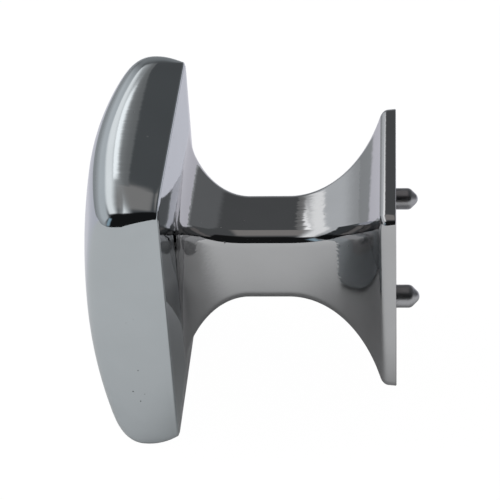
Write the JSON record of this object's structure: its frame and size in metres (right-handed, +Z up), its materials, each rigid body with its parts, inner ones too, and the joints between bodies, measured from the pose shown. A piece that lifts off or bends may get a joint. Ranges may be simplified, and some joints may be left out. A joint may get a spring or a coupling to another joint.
{
  "type": "sash lift handle",
  "caption": "Square domed pull knob on a flared square neck, with pointed locating pins on its flat base; fixed from behind to lift a window sash.",
  "frame": {"origin": "centre of the base flange's back, in the mounting face, on the knob's axis where the fixing screw enters", "axes": "+Y out of the back, along the fixing screw, into the sash; -Y towards the domed front that the hand meets; +X to the right and +Z up for someone facing the back of the sash, with the two locating pins on the X axis"},
  "size_m": [0.032, 0.0366, 0.032],
  "materials": {
    "head_chrome": "mirror-polished bright chrome plate",
    "pillar_chrome": "polished chrome plate with fine lengthwise polishing lines",
    "screw_steel": "dark zinc-plated steel",
    "insert_brass": "plain machined brass",
    "pin_nickel": "turned steel, nickel plated, slightly duller than the chrome"
  },
  "bodies": {
    "root": {"knob_head": "head_chrome", "flared_pillar": "pillar_chrome", "tie_screw": "screw_steel", "threaded_insert": "insert_brass", "left_locating_pin": "pin_nickel", "right_locating_pin": "pin_nickel"}
  },
  "joints": []
}
